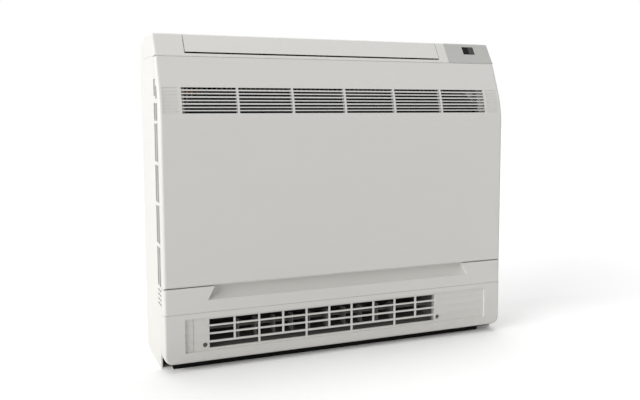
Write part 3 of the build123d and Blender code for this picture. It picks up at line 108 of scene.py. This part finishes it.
class Shader:
    """A tree of shader nodes, with one method that adds any node to it."""

    def __init__(self, tree):
        self.tree = tree

    def node(self, kind, sockets, out=0, stops=(), **settings):
        made = self.tree.nodes.new(kind)
        for key, value in settings.items():
            setattr(made, key, value)
        if stops:
            elements = made.color_ramp.elements
            while len(elements) < len(stops):
                elements.new(0.5)
            for element, (position, color) in zip(elements, stops):
                element.position = position
                element.color = color
        for key, value in sockets.items():
            self.feed(made.inputs[key], value)
        return Value(self, made.outputs[out])

    def feed(self, socket, value):
        if isinstance(value, Value):
            self.tree.links.new(value.socket, socket)
        else:
            socket.default_value = value

    def work_out(self, operation, a, b):
        return self.node("ShaderNodeMath", {0: a, 1: b}, operation=operation)

    def span(self, value, low, high, start=0.0, end=1.0):
        """Start below low, end above high, and a straight slope between."""
        sockets = {"Value": value, "From Min": low, "From Max": high, "To Min": start, "To Max": end}
        return self.node("ShaderNodeMapRange", sockets)


class Finish(Shader):
    """A material: a Principled shader fed by patterns that lie in the object's own coordinates."""

    def __init__(self, name, **constants):
        self.material = bpy.data.materials.new(name)
        self.material.use_nodes = True
        super().__init__(self.material.node_tree)
        self.surface = self.tree.nodes["Principled BSDF"]
        self.place = self.node("ShaderNodeTexCoord", {}, out="Object")
        self.wear(**constants)

    def wear(self, **inputs):
        for key, value in inputs.items():
            self.feed(self.surface.inputs[key.replace("_", " ")], value)
        return self.material

    def stretched(self, factors, move=(0.0, 0.0, 0.0)):
        return self.node("ShaderNodeMapping", {"Vector": self.place, "Scale": factors, "Location": move})

    def noise(self, scale, detail=2.0, stretch=None):
        place = self.place if stretch is None else self.stretched(stretch)
        return self.node("ShaderNodeTexNoise", {"Vector": place, "Scale": scale, "Detail": detail})

    def cells(self, scale, out="Distance", **settings):
        return self.node("ShaderNodeTexVoronoi", {"Vector": self.place, "Scale": scale}, out=out, **settings)

    def cell_tones(self, scale, **settings):
        """One grey value for each cell."""
        return self.node("ShaderNodeRGBToBW", {"Color": self.cells(scale, out="Color", **settings)})

    def waves(self, place, scale, distortion, detail, **settings):
        sockets = {"Vector": place, "Scale": scale, "Distortion": distortion, "Detail": detail}
        return self.node("ShaderNodeTexWave", sockets, out="Fac", **settings)

    def axis(self, name):
        return self.node("ShaderNodeSeparateXYZ", {"Vector": self.place}, out=name)

    def between(self, value, low, high):
        """One inside the span low to high, nought outside."""
        return (value > low) * (value < high)

    def stripes(self, value, pitch, share):
        """One over the given share of every pitch, nought over the rest."""
        part = self.node("ShaderNodeMath", {0: value, 1: pitch}, operation="PINGPONG")
        return part < pitch * share

    def ramp(self, value, stops):
        return self.node("ShaderNodeValToRGB", {"Fac": value}, stops=stops)

    def mix(self, factor, a, b):
        return self.node("ShaderNodeMix", {0: factor, 6: a, 7: b}, out=2, data_type="RGBA")

    def bump(self, height, depth, strength=1.0):
        return self.node("ShaderNodeBump", {"Height": height, "Distance": depth, "Strength": strength})


def tint(r, g, b):
    """A colour written in screen values from 0 to 255."""
    def linear(v):
        v = v / 255
        return v / 12.92 if v <= 0.04045 else ((v + 0.055) / 1.055) ** 2.4
    return (linear(r), linear(g), linear(b), 1.0)


# Plastics

DUST_TOP = 0.09
DUST_SHARE = 0.22
DUST = tint(176, 170, 160)

PANE_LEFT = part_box("display_window")[0].x + 0.0135
PANE_BLEND = 0.001

FILTER_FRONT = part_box("filter_left")[0].y
MESH_FRONT = FILTER_FRONT + 0.0023
MESH_REAR = FILTER_FRONT + 0.0030
MESH_PITCH = 0.0006
THREAD_SHARE = 0.42

FAN_AXIS = next(joint["pos_m"] for joint in frame["joints"] if joint["name"] == "fan_spin")


def shell_plastic(name, light, dark, rough=0.42, grain=900.0, depth=0.00002):
    """Moulded shell plastic: spark-eroded grain, faint tone drift, a breath of dust near the floor."""
    f = Finish(name, Specular_IOR_Level=0.45)
    drift = f.noise(5.0, 3.0)
    flow = f.noise(1.0, 2.0, stretch=(3.0, 3.0, 22.0))
    fine = f.noise(grain, 3.0)
    clean = f.mix(drift * 0.6 + flow * 0.4, dark, light)
    dust = f.span(f.axis("Z"), 0.0, DUST_TOP, DUST_SHARE, 0.0)
    color = f.mix(dust * f.noise(60.0, 4.0), clean, DUST)
    roughness = rough + (fine - 0.5) * 0.10 + (drift - 0.5) * 0.06
    return f.wear(Base_Color=color, Roughness=roughness, Normal=f.bump(fine, depth, 0.6))


def window_plastic():
    """Smoked pane: black on the left, where the display is dark, grey over the receiver on the right."""
    f = Finish("smoked_window", Specular_IOR_Level=0.15)
    pane = f.span(f.axis("X"), PANE_LEFT, PANE_LEFT + PANE_BLEND)
    haze = f.noise(160.0, 3.0)
    grey = f.mix(haze, tint(62, 62, 62), tint(82, 82, 81))
    color = f.mix(pane, tint(6, 6, 7), grey)
    return f.wear(Base_Color=color, Roughness=0.22 + haze * 0.08)


def strip_plastic():
    """Matt black moulding of the base strip, with scuffs and a little floor dust."""
    f = Finish("black_plastic", Specular_IOR_Level=0.15)
    scuff = f.noise(40.0, 5.0, stretch=(0.3, 1.0, 2.0))
    fine = f.noise(1200.0, 2.0)
    color = f.mix(f.span(scuff, 0.55, 0.8, 0.0, 0.25), tint(8, 8, 8), tint(38, 37, 36))
    return f.wear(Base_Color=color, Roughness=0.55 + fine * 0.15, Normal=f.bump(fine, 0.00003))


def inner_plastic(name, light, dark, rough=0.5):
    """Dark moulding of the air ways: flow marks along the part and ejector shine."""
    f = Finish(name, Specular_IOR_Level=0.35)
    flow = f.noise(18.0, 4.0, stretch=(0.4, 1.0, 1.0))
    fine = f.noise(1000.0, 2.0)
    color = f.mix(flow, dark, light)
    return f.wear(Base_Color=color, Roughness=rough + flow * 0.12, Normal=f.bump(fine, 0.00003))


def bead_foam():
    """Expanded bead foam: pressed cells with fine lines between them."""
    f = Finish("foam_white", Specular_IOR_Level=0.2)
    bead = 330.0
    edge = f.span(f.cells(bead, feature="DISTANCE_TO_EDGE"), 0.0, 0.12)
    pale = f.mix(f.cell_tones(bead), tint(226, 226, 222), tint(240, 240, 237))
    color = f.mix(edge, tint(206, 206, 200), pale)
    return f.wear(Base_Color=color, Roughness=0.75 + edge * 0.1, Normal=f.bump(edge, 0.0002, 0.5))


def filter_mesh():
    """Blue-black filter: moulded frame, and between its ribs a woven mesh of fine square holes, painted near-black
    as painted shade for the dark space behind them.
    """
    f = Finish("filter_blue", Specular_IOR_Level=0.35)
    sheet = f.between(f.axis("Y"), MESH_FRONT, MESH_REAR)
    warp = f.stripes(f.axis("X"), MESH_PITCH, THREAD_SHARE)
    weft = f.stripes(f.axis("Z"), MESH_PITCH, THREAD_SHARE)
    thread = f.work_out("MAXIMUM", warp, weft)
    # The holes are painted near-black: painted shade standing for the dark space behind the mesh; the threads
    # carry the filter's own blue-black.
    cloth_and_painted_holes = f.mix(thread, tint(3, 3, 4), tint(30, 33, 40))
    flow = f.noise(25.0, 3.0)
    moulding = f.mix(flow, tint(22, 25, 30), tint(34, 38, 45))
    color = f.mix(sheet, moulding, cloth_and_painted_holes)
    return f.wear(Base_Color=color, Roughness=0.45 + flow * 0.15, Normal=f.bump(thread * sheet, 0.0002, 0.7))


def wheel_plastic():
    """Pale moulding of the fan wheel, with rings left by the tool round its axis."""
    f = Finish("wheel_plastic", Specular_IOR_Level=0.4)
    centred = f.stretched((1.0, 0.0, 1.0), move=(-FAN_AXIS[0], 0.0, -FAN_AXIS[2]))
    rings = f.waves(centred, 160.0, 0.4, 2.0, wave_type="RINGS", rings_direction="SPHERICAL")
    flow = f.noise(14.0, 4.0)
    color = f.mix(flow, tint(196, 196, 190), tint(210, 210, 205))
    return f.wear(Base_Color=color, Roughness=0.42 + flow * 0.12, Normal=f.bump(rings, 0.00002))


def soft_rubber():
    """Black rubber with a grey bloom."""
    f = Finish("rubber", Specular_IOR_Level=0.25)
    bloom = f.noise(120.0, 4.0)
    fine = f.noise(1500.0, 2.0)
    color = f.mix(bloom, tint(24, 24, 24), tint(44, 43, 42))
    return f.wear(Base_Color=color, Roughness=0.75 + bloom * 0.15, Normal=f.bump(fine, 0.00005))


# Metals

def spangled_steel():
    """Zinc coated sheet: large flat crystals of slightly different grey, with rolling lines."""
    f = Finish("galvanised_steel", Metallic=1.0)
    crystal = f.cell_tones(150.0)
    rolled = f.noise(30.0, 3.0, stretch=(0.5, 1.0, 25.0))
    color = f.mix(crystal * 0.7 + rolled * 0.3, tint(158, 160, 162), tint(196, 198, 199))
    return f.wear(Base_Color=color, Roughness=0.34 + crystal * 0.16, Normal=f.bump(crystal, 0.00003, 0.4))


def turned_metal(name, light, dark, rough, direction):
    """Turned metal: fine tool rings across the given axis, over a slow stain."""
    f = Finish(name, Metallic=1.0)
    rings = f.waves(f.place, 2200.0, 0.6, 1.0, bands_direction=direction)
    stain = f.noise(90.0, 4.0)
    color = f.mix(stain, dark, light)
    return f.wear(Base_Color=color, Roughness=rough + stain * 0.14, Normal=f.bump(rings, 0.00001))


def drawn_copper():
    """Copper tube: bright drawn metal that has browned in patches."""
    f = Finish("copper", Metallic=1.0)
    patch = f.noise(45.0, 5.0)
    drawn = f.noise(350.0, 2.0, stretch=(0.15, 1.0, 1.0))
    stops = [(0.25, tint(176, 108, 74)), (0.5, tint(188, 120, 84)), (0.75, tint(132, 78, 54))]
    color = f.ramp(patch, stops)
    return f.wear(Base_Color=color, Roughness=0.24 + patch * 0.22, Normal=f.bump(drawn, 0.00002))


def fin_sheet():
    """Thin aluminium fins with a pale coating, streaked down by water."""
    f = Finish("fin_aluminium", Metallic=0.85)
    streak = f.noise(60.0, 4.0, stretch=(3.0, 3.0, 0.2))
    color = f.mix(streak, tint(176, 180, 182), tint(206, 209, 210))
    return f.wear(Base_Color=color, Roughness=0.36 + streak * 0.2, Normal=f.bump(streak, 0.00005))


def enamelled_can():
    """Black stoved enamel of the fan motor, with orange peel."""
    f = Finish("motor_can", Coat_Roughness=0.2)
    peel = f.cells(450.0)
    fade = f.noise(12.0, 3.0)
    color = f.mix(fade, tint(24, 24, 25), tint(40, 40, 42))
    normal = f.bump(peel, 0.00006, 0.4)
    return f.wear(Base_Color=color, Roughness=0.36 + fade * 0.1, Coat_Weight=0.25 + fade * 0.15, Normal=normal)


# Electrics

BOARD_BLOCK = 70.0
BOARD_CHOICE = 0.45
PAD_RADIUS = 0.16


def solder_mask():
    """Green board: brighter runs of copper under the mask, and bright pads."""
    f = Finish("circuit_green", Coat_Roughness=0.15, Specular_IOR_Level=0.5)
    along = f.stripes(f.axis("Z"), 0.0021, 0.38)
    across = f.stripes(f.axis("Y"), 0.0027, 0.38)
    choice = f.cell_tones(BOARD_BLOCK)
    run = (choice > BOARD_CHOICE) * along + (choice < BOARD_CHOICE) * across
    mask = f.mix(run, tint(18, 74, 46), tint(30, 102, 62))
    pads = f.cells(260.0) < PAD_RADIUS
    color = f.mix(pads, mask, tint(190, 188, 176))
    f.wear(Base_Color=color, Metallic=pads * 0.8, Roughness=0.34 - run * 0.06)
    return f.wear(Coat_Weight=0.5 - pads * 0.5, Normal=f.bump(run, 0.00004, 0.5))


def moulded_parts():
    """Relays, capacitors and terminals: each stands in its own block of space and has its own tone."""
    f = Finish("component_grey", Specular_IOR_Level=0.4)
    block = f.cell_tones(38.0, distance="CHEBYCHEV")
    dark = [(0.2, tint(34, 35, 37)), (0.45, tint(64, 66, 70))]
    bright = [(0.6, tint(30, 48, 84)), (0.8, tint(188, 186, 180))]
    color = f.ramp(block, dark + bright)
    fine = f.noise(900.0, 2.0)
    return f.wear(Base_Color=color, Roughness=0.4 + fine * 0.2, Normal=f.bump(fine, 0.00004))


# Finishes of the solids

WHITE = tint(219, 218, 214)
WHITE_DARK = tint(214, 213, 208)
PANEL_WHITE = tint(218, 217, 213)
PANEL_WHITE_DARK = tint(214, 213, 209)
LOUVER_WHITE = tint(220, 219, 215)
LOUVER_WHITE_DARK = tint(216, 215, 211)
GREY = tint(186, 186, 183)
GREY_DARK = tint(181, 181, 178)


def dress_nodes():
    by_slot = {
        "white_plastic": shell_plastic("shell_plastic", WHITE, WHITE_DARK),
        "light_grey_plastic": shell_plastic("light_grey_plastic", GREY, GREY_DARK, 0.36),
        "black_plastic": strip_plastic(),
        "dark_grey_plastic": inner_plastic("dark_grey_plastic", tint(74, 74, 73), tint(58, 58, 57)),
        "smoked_window": window_plastic(),
        "galvanised_steel": spangled_steel(),
        "screw_steel": turned_metal("screw_steel", tint(120, 120, 118), tint(84, 84, 82), 0.32, "DIAGONAL"),
        "shaft_steel": turned_metal("shaft_steel", tint(178, 179, 181), tint(140, 141, 143), 0.22, "Y"),
        "motor_can": enamelled_can(),
        "fin_aluminium": fin_sheet(),
        "copper": drawn_copper(),
        "brass": turned_metal("brass", tint(206, 174, 104), tint(172, 138, 74), 0.26, "Z"),
        "foam_white": bead_foam(),
        "filter_blue": filter_mesh(),
        "rubber": soft_rubber(),
        "circuit_green": solder_mask(),
        "component_grey": moulded_parts(),
        "wheel_plastic": wheel_plastic(),
    }
    by_node = {
        "front_panel": shell_plastic("panel_plastic", PANEL_WHITE, PANEL_WHITE_DARK, 0.34, 1400.0, 0.00001),
        "top_louver": shell_plastic("louver_plastic", LOUVER_WHITE, LOUVER_WHITE_DARK, 0.36, 1400.0, 0.00001),
        # The duct and the guide vanes get lighter copies of the dark grey plastic: painted light inside the air
        # way, where the lamps barely reach.
        "lower_duct": inner_plastic("duct_plastic_painted_light", tint(112, 112, 110), tint(92, 92, 90)),
        "lower_guide_vanes": inner_plastic("vane_plastic_painted_light", tint(122, 122, 120), tint(96, 96, 94), 0.3),
        "rear_case": shell_plastic("rear_plastic", LOUVER_WHITE, WHITE_DARK, 0.5, 700.0, 0.00004),
    }
    for part in frame["record"]["subparts"]:
        name = part["node"]
        finish = by_node.get(name, by_slot[part["material_slot"]])
        data = frame["nodes"][name].data
        data.materials.clear()
        data.materials.append(finish)


# Floor and surroundings

FLOOR_SIZE = 14.0
FLOOR_SEEN = 1.34
SKY = 0.41


def make_floor():
    """Pale matt floor, a little brighter to the camera than to the light it throws back."""
    b = bmesh.new()
    bmesh.ops.create_grid(b, x_segments=2, y_segments=2, size=FLOOR_SIZE)
    mesh = bpy.data.meshes.new("floor")
    b.to_mesh(mesh)
    b.free()
    floor = bpy.data.objects.new("floor", mesh)
    bpy.context.collection.objects.link(floor)
    f = Finish("floor_paint", Roughness=0.8, Specular_IOR_Level=0.0)
    plain = f.mix(f.noise(1.5, 3.0), tint(226, 226, 226), tint(229, 229, 229))
    seen = f.node("ShaderNodeVectorMath", {0: plain, "Scale": FLOOR_SEEN}, operation="SCALE")
    to_camera = f.node("ShaderNodeLightPath", {}, out="Is Camera Ray")
    mesh.materials.append(f.wear(Base_Color=f.mix(to_camera, plain, seen)))


def make_world():
    """White to the camera, in reflections and through glass, and dimmer as light on the surfaces."""
    world = bpy.data.worlds.new("studio")
    world.use_nodes = True
    bpy.context.scene.world = world
    sky = Shader(world.node_tree)
    seen = sky.node("ShaderNodeLightPath", {}, out="Is Camera Ray")
    for ray in ("Is Glossy Ray", "Is Transmission Ray"):
        seen = sky.work_out("MAXIMUM", seen, sky.node("ShaderNodeLightPath", {}, out=ray))
    background = world.node_tree.nodes["Background"]
    sky.feed(background.inputs["Color"], (1.0, 1.0, 1.0, 1.0))
    sky.feed(background.inputs["Strength"], sky.span(seen, 0.0, 1.0, SKY, 1.0))


make_camera()
make_world()
make_floor()
make_lamp("side_lamp", SIDE_LAMP_FROM, SIDE_LAMP_LEVEL)
make_lamp("top_lamp", TOP_LAMP_FROM, TOP_LAMP_LEVEL)
dress_nodes()

bpy.context.scene.view_settings.view_transform = "Standard"
